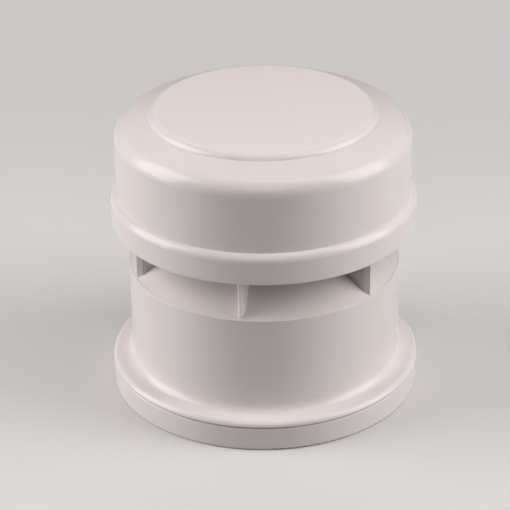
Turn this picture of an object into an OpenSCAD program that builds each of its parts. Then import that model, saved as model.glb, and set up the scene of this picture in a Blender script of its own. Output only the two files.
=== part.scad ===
// Air admittance valve for a soil pipe, in millimetres.
// Z is up along the pipe's axis. The origin is the centre of the bottom face.
// The front, -Y, is the side that shows one rib a little left of centre.

/* [Pipe socket] */
// Outer diameter of the pipe that enters from below
pipe_d = 110; // [90:1:125]
// Room all round between the pipe and the socket
pipe_clear = 0.25; // [0.15:0.05:0.4]
// Thickness of the socket's wall
wall_t = 3.6; // [3.2:0.1:4.2]
// Height of the sill under the windows
sill_z = 57.7; // [50:0.1:70]
// Depth below the sill of the shoulder that stops the pipe
stop_drop = 5; // [4.5:0.5:8]
// Radial width of the shoulder that stops the pipe
stop_w = 2.75; // [2:0.25:4]

/* [Bell and retaining cap] */
// How far the retaining cap stands out from the socket's wall
ring_out = 8.45; // [8:0.05:10]
// Height of the retaining cap
ring_h = 10.8; // [10:0.1:13]
// Thickness of the retaining cap's skirt
ring_wall = 2.6; // [2.2:0.1:3]
// Thickness of the retaining cap's floor
ring_floor = 3; // [2:0.1:3.5]
// Rounding of the retaining cap's bottom edge
ring_edge = 1; // [0.4:0.1:1.6]
// Rounding of the retaining cap's upper edge, along the groove
ring_lip = 0.9; // [0.4:0.1:1.2]
// How much wider the retaining cap's mouth is than the socket, all round
mouth_clear = 0.5; // [0.3:0.1:1]
// Height of the groove between retaining cap and bell
seam_gap = 0.4; // [0.2:0.05:0.6]
// How far the bell stands out past the retaining cap
bell_proud = 0.1; // [0:0.05:0.5]
// Rounding of the bell's upper edge, which is also its thickness
bell_edge = 2.4; // [2:0.05:3.5]
// Width of the flat between the bell's upper edge and the cove above it
crest_w = 1.75; // [0.5:0.05:2.5]
// Thickness of the bell's spigot inside the retaining cap
spigot_t = 2.9; // [2.5:0.1:3.2]
// Depth of the seal's chamber above the bell's lower face
chamber_up = 1; // [0.6:0.1:1.2]

/* [Pipe seal] */
// Thickness of the seal's heel, against the chamber's wall
heel_w = 3; // [2.4:0.1:3.4]
// Thickness of the seal's lip at its tip
lip_t = 1.4; // [1:0.1:1.6]
// Height of the seal's lip above the retaining cap's floor
lip_h = 7.7; // [6:0.1:8.5]
// How far the pressed lip stands back from the socket's bore
lip_back = 0.25; // [0.2:0.05:0.4]
// Rounding of the seal's corners
seal_round = 0.6; // [0.3:0.1:0.8]

/* [Windows and throat] */
// Number of ribs between the windows
rib_n = 6; // [4:1:8]
// Angle of the first rib from the front, to the right
rib_turn = -10.2; // [-30:0.1:30]
// Thickness of a rib
web_t = 2.6; // [2.2:0.1:4.5]
// How far a rib's pointed nose stands back from the wall's face
nose_back = 0.8; // [0.7:0.1:2]
// Radial length of the taper to the nose
nose_w = 2.05; // [1:0.05:4]
// Width of the nose's blunt end
nose_t = 0.3; // [0.2:0.05:1]
// Radial width of the flat edge along the sill
rim_w = 0.6; // [0.5:0.05:1.5]
// Slope of the floor behind the sill
cone_a = 31.7; // [20:0.1:34]
// Radial width of the sloping floor
cone_w = 17.75; // [15:0.05:20]
// Thickness of the sloping floor
cone_t = 3; // [2.4:0.1:3.5]
// Wall of the throat tube
throat_t = 3; // [2.6:0.1:3.5]
// Fillet between the sloping floor and the throat tube
throat_fillet = 3; // [1:0.5:4]
// Height of the windows, from the sill to the cap's lower edge
window_h = 20.4; // [16:0.1:28]

/* [Valve seats] */
// Height of both seats above the cap's lower edge
seat_up = 10.5; // [10:0.1:12]
// Width of the air gap between the throat tube and the outer seat
air_gap = 8.3; // [7.5:0.1:9]
// Wall of the outer seat
seat_t = 3; // [2.6:0.1:3.5]
// Rounding of the seats' edges
seat_edge = 1; // [0.5:0.1:1.2]
// Rounding of the air's way in under the outer seat
seat_lead = 2.2; // [1:0.1:2.6]
// Thickness of the seat ring's plate
seat_plate = 3.2; // [2.8:0.1:3.4]
// Height of the seat ring's underside above the cap's lower edge
seat_low = 2.5; // [2.3:0.1:2.8]
// Radial length of the tenon that holds a rib in the seat ring
tenon_w = 5; // [3:0.5:5]
// Height of the tenon
tenon_h = 1.8; // [1.2:0.1:2]
// Step from the web to the tenon on each side
tenon_step = 0.5; // [0.3:0.1:0.8]

/* [Cap] */
// How far the cap's rim band stands out past the socket's wall
rim_out = 6.9; // [6.5:0.05:9]
// Height of the rim band's straight part
rim_h = 9.8; // [9:0.1:11]
// Rounding of the rim band's upper edge
rim_round = 3.8; // [3:0.1:4.5]
// How far the dome's wall stands back from the rim band
dome_in = 2.55; // [2.3:0.05:2.8]
// Height of the dome from the cap's lower edge to the raised disc's foot
dome_h = 47.7; // [44:0.1:54]
// Slope of the dome's top from the raised disc down to the shoulder
top_a = 17.5; // [4:0.5:20]
// Rounding of the dome's shoulder
dome_round = 7.1; // [5:0.1:12]
// How far the raised disc's edge stands back from the dome's wall
disc_in = 14.4; // [13:0.05:20]
// Height of the raised disc
disc_h = 2.3; // [2.2:0.1:6]
// Radius of the raised disc's rounded edge
disc_edge = 3.5; // [3.4:0.1:5]
// Radial width of the raised disc's rounded edge
disc_edge_w = 3.2; // [1:0.1:3.2]
// Wall of the cap
cap_t = 2.5; // [2.2:0.1:2.7]
// How far the ledge inside the cap lies below the seats
ledge_drop = 0.5; // [0.3:0.1:0.8]
// Thickness of the rubber ring that seals the cap
oring_d = 2.3; // [2:0.1:2.5]
// Wall above the rubber ring's groove
groove_lid = 1; // [0.8:0.1:1.2]
// Wall behind the rubber ring's groove
groove_back = 2.3; // [1.8:0.1:3]

/* [Moving valve] */
// How far the valve lifts
lift = 8; // [5:0.5:9]
// Room left between the hub and the guide tube at full lift
stop_gap = 0.3; // [0.2:0.1:0.5]
// Radius of the stem that slides in the cap
stem_r = 5.92; // [4.5:0.02:7]
// Running clearance round the stem
stem_clear = 0.08; // [0.05:0.01:0.1]
// How far the resting stem reaches into its guide tube
stem_in = 8.7; // [6:0.1:10]
// Wall of the cap's guide tube
guide_t = 2.6; // [2:0.1:3]
// How far the hub stands out past the guide tube
hub_over = 1.4; // [0.5:0.1:3]
// Height of the valve disc's hub above its plate
hub_h = 4.2; // [3:0.1:5]
// Thickness of the valve disc's plate
plate_t = 2.2; // [1.8:0.1:2.6]
// How far the plate's edge stands back from the diaphragm's edge
plate_back = 0.5; // [0.2:0.1:1]
// Thickness of the rubber diaphragm
dia_t = 1.6; // [1.2:0.1:2]
// How far the diaphragm reaches past the outer seat
dia_over = 2.2; // [1:0.1:3]
// Room between the clamp ring and the throat tube
clamp_gap = 1.1; // [0.8:0.1:1.5]
// Thickness of the clamp ring
clamp_t = 1.6; // [1.2:0.1:2]
// How far the clamp ring reaches under the diaphragm
clamp_over = 3.4; // [2:0.1:5]
// How far the clamp ring reaches under the valve disc
clamp_in = 5; // [3:0.1:7]
// Wall of the valve disc's spigot inside the clamp ring
clamp_wall = 4; // [2:0.1:5]
// Thickness of the stiffening ribs and gussets
stiff_t = 1.6; // [1.2:0.1:2]
// Height of a stiffening rib at its outer end
stiff_low = 0.6; // [0.4:0.1:1]
// Drop from the hub's top to the ribs' inner ends
stiff_drop = 1; // [0.5:0.1:2]
// How far the ribs stop short of the plate's edge
stiff_back = 4.5; // [3:0.5:8]
// Radial length of the gussets on the guide tube
gusset_w = 17; // [10:1:20]
// Height of the guide tube's end below the gussets
gusset_up = 7; // [5:1:10]

/* [Fits] */
// Room round pieces that are pressed or snapped together
fit = 0.15; // [0.1:0.05:0.2]
// Room round the rubber ring that seals the cap
oring_gap = 0.05; // [0.05:0.05:0.1]
// Gap between the resting diaphragm and the seats
seat_gap = 0.2; // [0.15:0.05:0.3]
// How far a snap bead stands out
snap = 0.55; // [0.4:0.05:0.6]
// Rounding of a snap bead
bead_r = 0.9; // [0.7:0.05:1]
// Rounding of the small edges
edge = 0.4; // [0.2:0.05:0.5]

/* [Hidden] */
$fn = 96;
shell_c = [0.86, 0.83, 0.82];
inner_c = [0.80, 0.79, 0.77];
rubber_c = [0.08, 0.08, 0.09];
// how far pieces of one solid reach into each other
eps = 0.5;

// socket and bell
bore_r = pipe_d / 2 + pipe_clear;
wall_r = bore_r + wall_t;
ring_r = wall_r + ring_out;
bell_r = ring_r + bell_proud;
bell_z = ring_h + seam_gap;
bell_top = bell_z + bell_edge;
crest_r = bell_r - bell_edge;
cove_r = crest_r - crest_w - wall_r;
skirt_r = ring_r - ring_wall;
spigot_r = skirt_r - fit;
chamber_r = spigot_r - spigot_t;
chamber_z = bell_z + chamber_up;
mouth_r = bore_r + mouth_clear;
clip_z = (ring_floor + ring_h) / 2;
clip_r = spigot_r + snap - bead_r;
stop_z = sill_z - stop_drop;
stop_r = bore_r - stop_w;

// sloping floor, throat and ribs
foot_r = wall_r - rim_w;
rib_r = wall_r - nose_back;
web_r = rib_r - nose_w;
throat_r = foot_r - cone_w;
throat_in = throat_r - throat_t;
cone_v = cone_t / cos(cone_a);
cap_z = sill_z + window_h;
seat_z = cap_z + seat_up;
rib_top = cap_z + seat_low;
tenon_r = web_r - tenon_w - tenon_step;
tenon_t = web_t - 2 * tenon_step;

// cap and seat ring
rim_r = wall_r + rim_out;
skirt_in = rim_r - cap_t;
rim_top = cap_z + rim_h + rim_round;
dome_r = rim_r - dome_in;
disc_r = dome_r - disc_in;
foot_z = cap_z + dome_h;
top_z = foot_z + disc_h;
shoulder_r = dome_r - dome_round;
shoulder_z = foot_z - (shoulder_r - disc_r) * tan(top_a) - dome_round / cos(top_a);
ceiling_z = top_z - cap_t;
ledge_z = seat_z - ledge_drop;
hold_z = rib_top - bead_r - fit;
seat_in = throat_r + air_gap;
seat_out = skirt_in - fit;
plate_top = rib_top + seat_plate;
groove_h = oring_d + 2 * fit;
groove_r = skirt_in - oring_d - 2 * oring_gap;
groove_z = ledge_z - groove_lid - groove_h / 2;

// moving valve, at rest on the seats
dia_z = seat_z + seat_gap;
disc_z = dia_z + dia_t;
plate_z = disc_z + plate_t;
hub_z = plate_z + hub_h;
dia_r = seat_in + seat_t + dia_over;
plate_r = dia_r - plate_back;
clamp_r = throat_in - clamp_gap;
clamp_z = dia_z - clamp_t;
dia_in = clamp_r - clamp_over;
nose_r = dia_in - clamp_in;
guide_in = stem_r + stem_clear;
guide_out = guide_in + guide_t;
guide_z = hub_z + lift + stop_gap;
stem_z = guide_z + stem_in;
hub_r = guide_out + hub_over;

// Top of the sloping floor at radius r
function cone_z(r) = sill_z + (foot_r - r) * tan(cone_a);

// Profile area that rounding takes off the outer corner [x, z]; sx and sz point out of the corner
module corner_off(x, z, r, sx, sz) {
    difference() {
        translate([min(x - sx * r, x + sx * eps), min(z - sz * r, z + sz * eps)]) square(r + eps);
        translate([x - sx * r, z - sz * r]) circle(r);
    }
}

// Profile area that a fillet adds in the inner corner [x, z]; sx and sz point into the open
module fillet_on(x, z, r, sx, sz) {
    difference() {
        translate([min(x - sx * eps, x + sx * r), min(z - sz * eps, z + sz * r)]) square(r + eps);
        translate([x + sx * r, z + sz * r]) circle(r);
    }
}

// Rectangle of a profile between two radii and two heights
module band(r0, r1, z0, z1) {
    translate([r0, z0]) square([r1 - r0, z1 - z0]);
}

// One copy of its child for each rib direction, with the child drawn along +X
module at_ribs() {
    for (i = [0 : rib_n - 1]) rotate([0, 0, rib_turn - 90 + i * 360 / rib_n]) children();
}

// Upright plate in a radial plane, from a profile of radius and height
module radial_plate(t) {
    rotate([90, 0, 0]) linear_extrude(t, center = true) children();
}

// Section of the dome, drawn in by d: wall, rounded shoulder and sloping top
module dome_section(d) {
    round_r = dome_round - d;
    touch_r = shoulder_r + round_r * sin(top_a);
    touch_z = shoulder_z + round_r * cos(top_a);
    high_z = touch_z + (touch_r - disc_r) * tan(top_a);
    polygon([[0, cap_z], [touch_r, cap_z], [touch_r, touch_z], [disc_r, high_z], [0, high_z]]);
    band(0, dome_r - d, cap_z, shoulder_z);
    translate([shoulder_r, shoulder_z]) circle(round_r);
}

// Outside of the cap: raised disc, dome with its shoulder, and rim band
module cap_outside() {
    difference() {
        band(0, disc_r, cap_z, top_z);
        corner_off(disc_r - disc_edge_w + disc_edge, top_z, disc_edge, 1, 1);
    }
    dome_section(0);
    difference() {
        band(0, rim_r, cap_z, rim_top);
        corner_off(rim_r, rim_top, rim_round, 1, 1);
        corner_off(rim_r, cap_z, edge, 1, -1);
    }
}

// Hollow of the cap: ceiling under the disc, shoulder, dome wall and rim skirt
module cap_inside() {
    band(0, disc_r - cap_t, cap_z, ceiling_z);
    dome_section(cap_t);
    band(0, skirt_in, cap_z - eps, ledge_z);
}

// Snap-on cap with the tube that guides the valve's stem
module cover_cap() {
    color(shell_c) {
        rotate_extrude() difference() {
            cap_outside();
            cap_inside();
        }
        rotate_extrude() intersection() {
            translate([skirt_in - snap + bead_r, hold_z]) circle(bead_r);
            band(0, skirt_in + eps, cap_z, ledge_z);
        }
        rotate_extrude() difference() {
            band(guide_in, guide_out, guide_z, ceiling_z + eps);
            corner_off(guide_in, guide_z, edge, -1, -1);
            corner_off(guide_out, guide_z, edge, 1, -1);
        }
        at_ribs() radial_plate(stiff_t) polygon([
            [guide_out - eps, guide_z + gusset_up],
            [guide_out + gusset_w, ceiling_z],
            [guide_out + gusset_w, ceiling_z + eps],
            [guide_out - eps, ceiling_z + eps]
        ]);
    }
}

// Rubber ring between the cap's skirt and the seat ring
module cap_o_ring() {
    color(rubber_c) rotate_extrude() translate([groove_r + oring_gap + oring_d / 2, groove_z]) circle(oring_d / 2);
}

// Ring on top of the ribs, with the outer seat inside and the groove of the cap's seal outside
module seat_ring() {
    color(inner_c) difference() {
        rotate_extrude() difference() {
            union() {
                band(seat_in, seat_out, rib_top, plate_top);
                band(seat_in, seat_in + seat_t, rib_top, seat_z);
                band(groove_r - groove_back, seat_out, rib_top, ledge_z);
                fillet_on(seat_in + seat_t, plate_top, seat_edge, 1, 1);
            }
            corner_off(seat_in, seat_z, seat_edge, -1, 1);
            corner_off(seat_in + seat_t, seat_z, seat_edge, 1, 1);
            corner_off(seat_in, rib_top, seat_lead, -1, -1);
            band(groove_r, seat_out + eps, groove_z - groove_h / 2, groove_z + groove_h / 2);
        }
        at_ribs() radial_plate(tenon_t + 2 * fit)
            band(tenon_r - fit, tenon_r + tenon_w + fit, rib_top - eps, rib_top + tenon_h + fit);
    }
}

// Section of the socket's wall and bell
module socket_section() {
    band(bore_r, wall_r, chamber_z, sill_z);
    band(bore_r, crest_r, chamber_z, bell_top);
    band(chamber_r, crest_r, bell_z, bell_top);
    band(chamber_r, spigot_r, ring_floor, bell_top);
    intersection() {
        translate([crest_r, bell_z]) circle(bell_edge);
        band(chamber_r, bell_r, bell_z, bell_top);
    }
    fillet_on(wall_r, bell_top, cove_r, 1, 1);
    translate([clip_r, clip_z]) circle(bead_r);
}

// Section of the pipe's stop, the sloping floor and the throat tube
module throat_section() {
    fillet_z = cone_z(throat_r) + throat_fillet * (1 / cos(cone_a) - tan(cone_a));
    touch_r = throat_r + throat_fillet * (1 - sin(cone_a));
    polygon([
        [foot_r, stop_z],
        [foot_r, sill_z],
        [throat_in, cone_z(throat_in)],
        [throat_in, cone_z(throat_in) - cone_v],
        [stop_r, cone_z(stop_r) - cone_v],
        [stop_r, stop_z]
    ]);
    band(throat_in, throat_r, cone_z(throat_in) - cone_v, seat_z);
    difference() {
        polygon([
            [throat_r - eps, fillet_z],
            [throat_r, fillet_z],
            [touch_r, cone_z(touch_r)],
            [touch_r - eps, cone_z(touch_r - eps) - eps],
            [throat_r - eps, cone_z(throat_r) - eps]
        ]);
        translate([throat_r + throat_fillet, fillet_z]) circle(throat_fillet);
    }
}

// One rib: a web with a pointed nose, standing on the sloping floor, and a tenon for the seat ring
module rib() {
    intersection() {
        radial_plate(web_t + 2 * eps) polygon([
            [throat_r - eps, cone_z(throat_r) - eps],
            [wall_r, cone_z(wall_r) - eps],
            [wall_r, rib_top],
            [throat_r - eps, rib_top]
        ]);
        linear_extrude(rib_top + eps) polygon([
            [0, -web_t / 2],
            [web_r, -web_t / 2],
            [rib_r, -nose_t / 2],
            [rib_r, nose_t / 2],
            [web_r, web_t / 2],
            [0, web_t / 2]
        ]);
    }
    radial_plate(tenon_t) band(tenon_r, tenon_r + tenon_w, rib_top - eps, rib_top + tenon_h);
}

// Pipe socket with bell, windows' ribs and throat tube, moulded in one
module valve_body() {
    color(shell_c) {
        rotate_extrude() difference() {
            union() {
                socket_section();
                throat_section();
            }
            corner_off(wall_r, sill_z, edge, 1, 1);
            corner_off(throat_in, seat_z, seat_edge, -1, 1);
            corner_off(throat_r, seat_z, seat_edge, 1, 1);
            corner_off(spigot_r, ring_floor, edge, 1, -1);
        }
        at_ribs() rib();
    }
}

// Rubber lip ring round the pipe, with the lip pressed back as the pipe leaves it
module pipe_ring_seal() {
    heel_r = chamber_r - fit;
    heel_in = heel_r - heel_w;
    heel_top = chamber_z - fit;
    lip_r = bore_r + lip_back;
    tip_z = ring_floor + lip_h;
    color(rubber_c) rotate_extrude() difference() {
        polygon([
            [heel_in - lip_t / 2, ring_floor],
            [heel_r, ring_floor],
            [heel_r, heel_top],
            [heel_in, heel_top],
            [heel_in, tip_z - heel_w],
            [lip_r + lip_t, tip_z],
            [lip_r, tip_z],
            [lip_r, tip_z - 2 * lip_t]
        ]);
        corner_off(heel_r, heel_top, seal_round, 1, 1);
        corner_off(heel_in, heel_top, seal_round, -1, 1);
        corner_off(heel_r, ring_floor, seal_round, 1, -1);
        corner_off(lip_r, tip_z, seal_round, -1, 1);
    }
}

// Ring that closes the bell from below and snaps over its spigot
module seal_retaining_cap() {
    color(shell_c) rotate_extrude() difference() {
        union() {
            band(mouth_r, ring_r, 0, ring_floor);
            band(skirt_r, ring_r, 0, ring_h);
        }
        corner_off(ring_r, 0, ring_edge, 1, -1);
        corner_off(ring_r, ring_h, ring_lip, 1, 1);
        corner_off(mouth_r, 0, ring_floor / 2, -1, -1);
        translate([clip_r, clip_z]) circle(bead_r + fit);
    }
}

// Plate that lifts, with a stiffened top, a hub and the guided stem
module valve_disc() {
    color(inner_c) {
        rotate_extrude() {
            difference() {
                band(0, plate_r, disc_z, plate_z);
                corner_off(plate_r, plate_z, edge, 1, 1);
            }
            difference() {
                union() {
                    band(nose_r - clamp_wall, dia_in - fit, dia_z, disc_z + eps);
                    band(nose_r - clamp_wall, nose_r, clamp_z, disc_z + eps);
                }
                corner_off(nose_r, clamp_z, edge, 1, -1);
            }
            difference() {
                band(0, hub_r, disc_z, hub_z);
                corner_off(hub_r, hub_z, edge, 1, 1);
            }
            difference() {
                band(0, stem_r, disc_z, stem_z);
                corner_off(stem_r, stem_z, 2 * edge, 1, 1);
            }
        }
        at_ribs() radial_plate(stiff_t) polygon([
            [hub_r - eps, plate_z - eps],
            [plate_r - stiff_back, plate_z - eps],
            [plate_r - stiff_back, plate_z + stiff_low],
            [hub_r - eps, hub_z - stiff_drop]
        ]);
    }
}

// Flat rubber ring that closes both seats
module diaphragm() {
    color(rubber_c) rotate_extrude() band(dia_in, dia_r, dia_z, disc_z);
}

// Ring that holds the diaphragm on the valve disc
module diaphragm_clamp_ring() {
    color(inner_c) rotate_extrude() difference() {
        band(nose_r + fit, clamp_r, clamp_z, dia_z);
        corner_off(clamp_r, clamp_z, 2 * edge, 1, -1);
    }
}

cover_cap();
cap_o_ring();
seat_ring();
valve_body();
pipe_ring_seal();
seal_retaining_cap();
valve_disc();
diaphragm();
diaphragm_clamp_ring();
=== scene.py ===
import math

import bpy
from mathutils import Euler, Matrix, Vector

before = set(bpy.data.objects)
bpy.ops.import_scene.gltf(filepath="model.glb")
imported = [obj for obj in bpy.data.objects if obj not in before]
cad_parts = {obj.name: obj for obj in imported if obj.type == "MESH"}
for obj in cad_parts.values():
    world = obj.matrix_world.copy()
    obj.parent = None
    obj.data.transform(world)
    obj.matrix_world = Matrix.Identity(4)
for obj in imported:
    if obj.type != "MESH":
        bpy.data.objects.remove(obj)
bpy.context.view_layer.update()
print("frame loaded:", sorted(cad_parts))


def mathNode(nodes, operation):
    made = nodes.new("ShaderNodeMath")
    made.operation = operation
    return made


def colourMix(nodes):
    made = nodes.new("ShaderNodeMix")
    made.data_type = "RGBA"
    return made


def newGroup(name, inputs, outputs):
    group = bpy.data.node_groups.new(name, "ShaderNodeTree")
    for label, kind, value in inputs:
        made = group.interface.new_socket(label, in_out="INPUT", socket_type=kind)
        made.default_value = value
    for label, kind in outputs:
        group.interface.new_socket(label, in_out="OUTPUT", socket_type=kind)
    start = group.nodes.new("NodeGroupInput")
    end = group.nodes.new("NodeGroupOutput")
    return group, start, end


surfaceNoise = {
    "cloudDetail": 3, "grainDetail": 2,
    "cloudShare": 0.6, "grainShare": 0.4,  # how much of each goes into the roughness
    "span": (0.3, 0.7),  # this much of their sum runs from the low roughness to the high one
}


# the moulded surface is one effect that every material takes with its own values
def mouldedSurface():
    group, start, end = newGroup(
        "mouldedSurface",
        [
            ("Colour", "NodeSocketColor", (0.8, 0.8, 0.8, 1)),
            ("Shade", "NodeSocketColor", (0.7, 0.7, 0.7, 1)),
            ("Cloud size", "NodeSocketFloat", 20.0),
            ("Grain size", "NodeSocketFloat", 900.0),
            ("Roughness low", "NodeSocketFloat", 0.3),
            ("Roughness high", "NodeSocketFloat", 0.4),
            ("Painted shade colour", "NodeSocketColor", (0.2, 0.2, 0.2, 1)),
            ("Seam height", "NodeSocketFloat", 0.0),
            ("Seam width", "NodeSocketFloat", 0.0005),
            ("Painted shade amount", "NodeSocketFloat", 0.0),  # no painted seam shade unless a material asks for one
        ],
        [("Colour", "NodeSocketColor"), ("Roughness", "NodeSocketFloat"), ("Height", "NodeSocketFloat")],
    )
    nodes, link = group.nodes, group.links.new
    place = nodes.new("ShaderNodeTexCoord")
    cloud = nodes.new("ShaderNodeTexNoise")
    cloud.inputs["Detail"].default_value = surfaceNoise["cloudDetail"]
    grain = nodes.new("ShaderNodeTexNoise")
    grain.inputs["Detail"].default_value = surfaceNoise["grainDetail"]
    link(place.outputs["Object"], cloud.inputs["Vector"])
    link(place.outputs["Object"], grain.inputs["Vector"])
    link(start.outputs["Cloud size"], cloud.inputs["Scale"])
    link(start.outputs["Grain size"], grain.inputs["Scale"])
    tone = colourMix(nodes)
    link(cloud.outputs["Fac"], tone.inputs["Factor"])
    link(start.outputs["Colour"], tone.inputs["A"])
    link(start.outputs["Shade"], tone.inputs["B"])
    # painted shade: the colour darkens towards the seam's shade colour in a band around the joint between
    # two mouldings
    axes = nodes.new("ShaderNodeSeparateXYZ")
    link(place.outputs["Object"], axes.inputs["Vector"])
    above = mathNode(nodes, "SUBTRACT")
    link(axes.outputs["Z"], above.inputs[0])
    link(start.outputs["Seam height"], above.inputs[1])
    away = mathNode(nodes, "ABSOLUTE")
    link(above.outputs[0], away.inputs[0])
    seam = nodes.new("ShaderNodeMapRange")
    seam.interpolation_type = "SMOOTHSTEP"
    seam.inputs["To Max"].default_value = 0
    link(away.outputs[0], seam.inputs["Value"])
    link(start.outputs["Seam width"], seam.inputs["From Max"])
    link(start.outputs["Painted shade amount"], seam.inputs["To Min"])
    paintedSeamShade = colourMix(nodes)
    link(seam.outputs["Result"], paintedSeamShade.inputs["Factor"])
    link(tone.outputs["Result"], paintedSeamShade.inputs["A"])
    link(start.outputs["Painted shade colour"], paintedSeamShade.inputs["B"])
    # both noises make the roughness uneven
    cloudPart = mathNode(nodes, "MULTIPLY")
    cloudPart.inputs[1].default_value = surfaceNoise["cloudShare"]
    link(cloud.outputs["Fac"], cloudPart.inputs[0])
    mixed = mathNode(nodes, "MULTIPLY_ADD")
    mixed.inputs[1].default_value = surfaceNoise["grainShare"]
    link(grain.outputs["Fac"], mixed.inputs[0])
    link(cloudPart.outputs[0], mixed.inputs[2])
    roughness = nodes.new("ShaderNodeMapRange")
    roughness.inputs["From Min"].default_value = surfaceNoise["span"][0]
    roughness.inputs["From Max"].default_value = surfaceNoise["span"][1]
    link(mixed.outputs[0], roughness.inputs["Value"])
    link(start.outputs["Roughness low"], roughness.inputs["To Min"])
    link(start.outputs["Roughness high"], roughness.inputs["To Max"])
    link(paintedSeamShade.outputs["Result"], end.inputs["Colour"])
    link(roughness.outputs["Result"], end.inputs["Roughness"])
    link(grain.outputs["Fac"], end.inputs["Height"])
    return group


surfaceGroup = mouldedSurface()


def finishMaterial(name, look):
    material = bpy.data.materials.new(name)
    material.use_nodes = True
    nodes, link = material.node_tree.nodes, material.node_tree.links.new
    shader = nodes["Principled BSDF"]
    effect = nodes.new("ShaderNodeGroup")
    effect.node_tree = surfaceGroup
    effect.inputs["Colour"].default_value = (*look["colour"], 1)
    effect.inputs["Shade"].default_value = (*look["shade"], 1)
    effect.inputs["Cloud size"].default_value = look["cloudSize"]
    effect.inputs["Grain size"].default_value = look["grainSize"]
    effect.inputs["Roughness low"].default_value = look["roughness"][0]
    effect.inputs["Roughness high"].default_value = look["roughness"][1]
    # the seam values paint shade into the joint between the mouldings
    for label, value in look.get("seam", {}).items():
        effect.inputs[label].default_value = value
    bump = nodes.new("ShaderNodeBump")
    bump.inputs["Strength"].default_value = look["bump"]
    bump.inputs["Distance"].default_value = look["bumpDepth"]
    link(effect.outputs["Colour"], shader.inputs["Base Color"])
    link(effect.outputs["Roughness"], shader.inputs["Roughness"])
    link(effect.outputs["Height"], bump.inputs["Height"])
    link(bump.outputs["Normal"], shader.inputs["Normal"])
    shader.inputs["IOR"].default_value = look["ior"]
    material.diffuse_color = (*look["colour"], 1)
    return material


whiteShell = {
    "colour": (0.83, 0.782, 0.771), "shade": (0.80, 0.756, 0.744), "cloudSize": 14.0, "grainSize": 900.0,
    "roughness": (0.20, 0.27), "bump": 0.06, "bumpDepth": 0.0001, "ior": 1.48,
    # painted shade in the gap between the bell and the retaining cap; the height is in metres above the
    # floor
    "seam": {
        "Painted shade colour": (0.32, 0.27, 0.26, 1), "Seam height": 0.011, "Seam width": 0.0006, "Painted shade amount": 1.0,
    },
}
innerPlastic = {
    "colour": (0.74, 0.72, 0.69), "shade": (0.70, 0.68, 0.65), "cloudSize": 18.0, "grainSize": 700.0,
    "roughness": (0.42, 0.52), "bump": 0.08, "bumpDepth": 0.0001, "ior": 1.48,
}
sealRubber = {
    "colour": (0.022, 0.022, 0.024), "shade": (0.034, 0.033, 0.033), "cloudSize": 60.0, "grainSize": 1400.0,
    "roughness": (0.55, 0.72), "bump": 0.2, "bumpDepth": 0.0001, "ior": 1.5,
}
shellMaterial = finishMaterial("white_shell", whiteShell)
innerMaterial = finishMaterial("inner_plastic", innerPlastic)
rubberMaterial = finishMaterial("seal_rubber", sealRubber)
nodeFinish = {
    "cover_cap": shellMaterial, "valve_body": shellMaterial, "seal_retaining_cap": shellMaterial,
    "seat_ring": innerMaterial, "valve_disc": innerMaterial, "diaphragm_clamp_ring": innerMaterial,
    "cap_o_ring": rubberMaterial, "pipe_ring_seal": rubberMaterial, "diaphragm": rubberMaterial,
}
for name, material in nodeFinish.items():
    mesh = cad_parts[name].data
    mesh.materials.clear()
    mesh.materials.append(material)
print("materials set on", len(nodeFinish), "nodes")


studio = {
    "floorSize": 6.0, "floorColour": (0.73, 0.73, 0.73), "floorRoughness": 0.6, "floorShine": 0.1,
    "nearBounce": (0.30, 0.30, 0.30), "farBounce": (0.12, 0.12, 0.12),
    # where each fade starts and ends, in metres from the part's axis
    "bounceFade": (0.10, 0.30), "floorFade": (0.12, 0.45),
    "backdrop": (0.6, 0.582, 0.576), "skyLight": (0.01, 0.01, 0.01),
}

floorMesh = bpy.data.meshes.new("floor")
edge = studio["floorSize"] / 2
floorCorners = [(-edge, -edge, 0), (edge, -edge, 0), (edge, edge, 0), (-edge, edge, 0)]
floorMesh.from_pydata(floorCorners, [], [(0, 1, 2, 3)])
floor = bpy.data.objects.new("floor", floorMesh)
bpy.context.scene.collection.objects.link(floor)
floorMaterial = bpy.data.materials.new("floor_paint")
floorMaterial.use_nodes = True
floorNodes, floorLink = floorMaterial.node_tree.nodes, floorMaterial.node_tree.links.new
floorShader = floorNodes["Principled BSDF"]
floorShader.inputs["Roughness"].default_value = studio["floorRoughness"]
floorShader.inputs["Specular IOR Level"].default_value = studio["floorShine"]
spot = floorNodes.new("ShaderNodeTexCoord")
reach = floorNodes.new("ShaderNodeVectorMath")
reach.operation = "LENGTH"
floorLink(spot.outputs["Object"], reach.inputs[0])


def fadeOut(ends):
    fade = floorNodes.new("ShaderNodeMapRange")
    fade.interpolation_type = "SMOOTHSTEP"
    fade.inputs["From Min"].default_value, fade.inputs["From Max"].default_value = ends
    floorLink(reach.outputs["Value"], fade.inputs["Value"])
    return fade.outputs["Result"]


# the floor throws back more light close to the part than further out
bounce = colourMix(floorNodes)
bounce.inputs["A"].default_value = (*studio["nearBounce"], 1)
bounce.inputs["B"].default_value = (*studio["farBounce"], 1)
floorLink(fadeOut(studio["bounceFade"]), bounce.inputs["Factor"])
# pale to the camera and in reflections, darker where it throws light back
rays = floorNodes.new("ShaderNodeLightPath")
seen = mathNode(floorNodes, "MAXIMUM")
floorLink(rays.outputs["Is Camera Ray"], seen.inputs[0])
floorLink(rays.outputs["Is Glossy Ray"], seen.inputs[1])
paint = colourMix(floorNodes)
floorLink(bounce.outputs["Result"], paint.inputs["A"])
paint.inputs["B"].default_value = (*studio["floorColour"], 1)
floorLink(seen.outputs[0], paint.inputs["Factor"])
floorLink(paint.outputs["Result"], floorShader.inputs["Base Color"])
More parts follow.
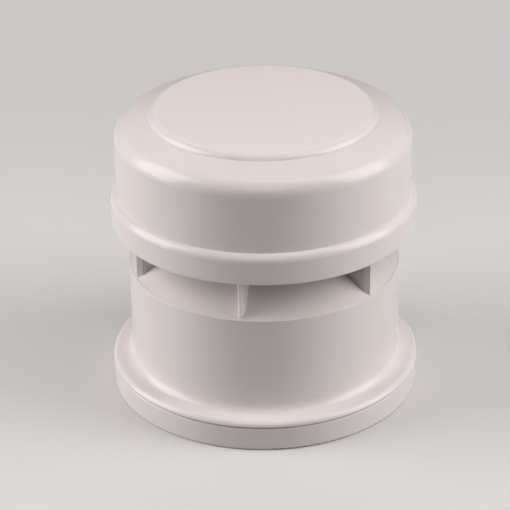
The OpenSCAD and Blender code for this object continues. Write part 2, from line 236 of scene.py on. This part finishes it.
# far from the part the camera sees the plain backdrop instead of the lamps' pools of light
fadeSeen = mathNode(floorNodes, "MULTIPLY")
floorLink(fadeOut(studio["floorFade"]), fadeSeen.inputs[0])
floorLink(rays.outputs["Is Camera Ray"], fadeSeen.inputs[1])
backdrop = floorNodes.new("ShaderNodeEmission")
backdrop.inputs["Color"].default_value = (*studio["backdrop"], 1)
floorMix = floorNodes.new("ShaderNodeMixShader")
floorLink(fadeSeen.outputs[0], floorMix.inputs["Fac"])
floorLink(floorShader.outputs["BSDF"], floorMix.inputs[1])
floorLink(backdrop.outputs["Emission"], floorMix.inputs[2])
floorLink(floorMix.outputs["Shader"], floorNodes["Material Output"].inputs["Surface"])
floorMesh.materials.append(floorMaterial)

world = bpy.data.worlds.new("studio")
bpy.context.scene.world = world
world.use_nodes = True
skyNodes, skyLink = world.node_tree.nodes, world.node_tree.links.new
dimSky = skyNodes["Background"]
dimSky.inputs["Color"].default_value = (*studio["skyLight"], 1)
# the camera sees a pale backdrop where the floor ends
paleSky = skyNodes.new("ShaderNodeBackground")
paleSky.inputs["Color"].default_value = (*studio["backdrop"], 1)
skyRays = skyNodes.new("ShaderNodeLightPath")
skyMix = skyNodes.new("ShaderNodeMixShader")
skyLink(skyRays.outputs["Is Camera Ray"], skyMix.inputs["Fac"])
skyLink(dimSky.outputs["Background"], skyMix.inputs[1])
skyLink(paleSky.outputs["Background"], skyMix.inputs[2])
skyLink(skyMix.outputs["Shader"], skyNodes["World Output"].inputs["Surface"])
print("floor and backdrop ready")

lampSettings = {"aim": (0, 0, 0.064), "colour": (1.0, 0.955, 0.946)}
lamps = {
    "left_panel": {"at": (-0.9, -0.05, 0.46), "size": (0.7, 1.0), "power": 9.8},
    "right_panel": {"at": (0.88, -0.15, 0.48), "size": (0.68, 1.0), "power": 8.5},
    "upper_right_panel": {"at": (0.38, -0.18, 0.97), "size": (0.5, 0.5), "power": 1.3},
    "front_panel": {"at": (0, -0.766, 0.707), "size": (0.5, 0.4), "power": 1.1},
    "top_panel": {"at": (0, 0, 1.064), "size": (0.5, 0.5), "power": 0.85},
    "back_panel": {"at": (0, 0.766, 0.707), "size": (0.6, 0.4), "power": 1.0},
}
for name, lamp in lamps.items():
    light = bpy.data.lights.new(name, "AREA")
    light.shape = "RECTANGLE"
    light.size, light.size_y = lamp["size"]
    light.energy = lamp["power"]
    light.color = lampSettings["colour"]
    holder = bpy.data.objects.new(name, light)
    bpy.context.scene.collection.objects.link(holder)
    holder.location = lamp["at"]
    outward = Vector(lamp["at"]) - Vector(lampSettings["aim"])
    holder.rotation_euler = outward.to_track_quat("Z", "Y").to_euler()
print("lamps ready:", len(lamps))

photoView = {
    "elevation": 27.19, "distance": 0.933, "aimHeight": 0.0648, "focalPixels": 2143.3, "roll": 0.58,
    "imageSize": 510, "aimPixel": (264.34, 240.93), "sensorWidth": 36, "clip": (0.05, 20),
}
camera = bpy.data.cameras.new("photo_camera")
camera.sensor_width = photoView["sensorWidth"]
camera.lens = photoView["sensorWidth"] * photoView["focalPixels"] / photoView["imageSize"]
camera.clip_start, camera.clip_end = photoView["clip"]
eye = bpy.data.objects.new("photo_camera", camera)
bpy.context.scene.collection.objects.link(eye)
tilt = math.radians(photoView["elevation"])
back = Vector((0, -math.cos(tilt), math.sin(tilt)))
eye.location = Vector((0, 0, photoView["aimHeight"])) + back * photoView["distance"]
# the aimed point lies a little off the middle of the picture
middle = photoView["imageSize"] / 2
turn = math.atan((photoView["aimPixel"][0] - middle) / photoView["focalPixels"])
nod = math.atan((middle - photoView["aimPixel"][1]) / photoView["focalPixels"])
eye.rotation_mode = "QUATERNION"
eye.rotation_quaternion = (
    back.to_track_quat("Z", "Y")
    @ Euler((-nod, turn, 0)).to_quaternion()
    @ Euler((0, 0, -math.radians(photoView["roll"]))).to_quaternion()
)
bpy.context.scene.camera = eye
bpy.context.scene.view_settings.view_transform = "Standard"
print("camera ready")
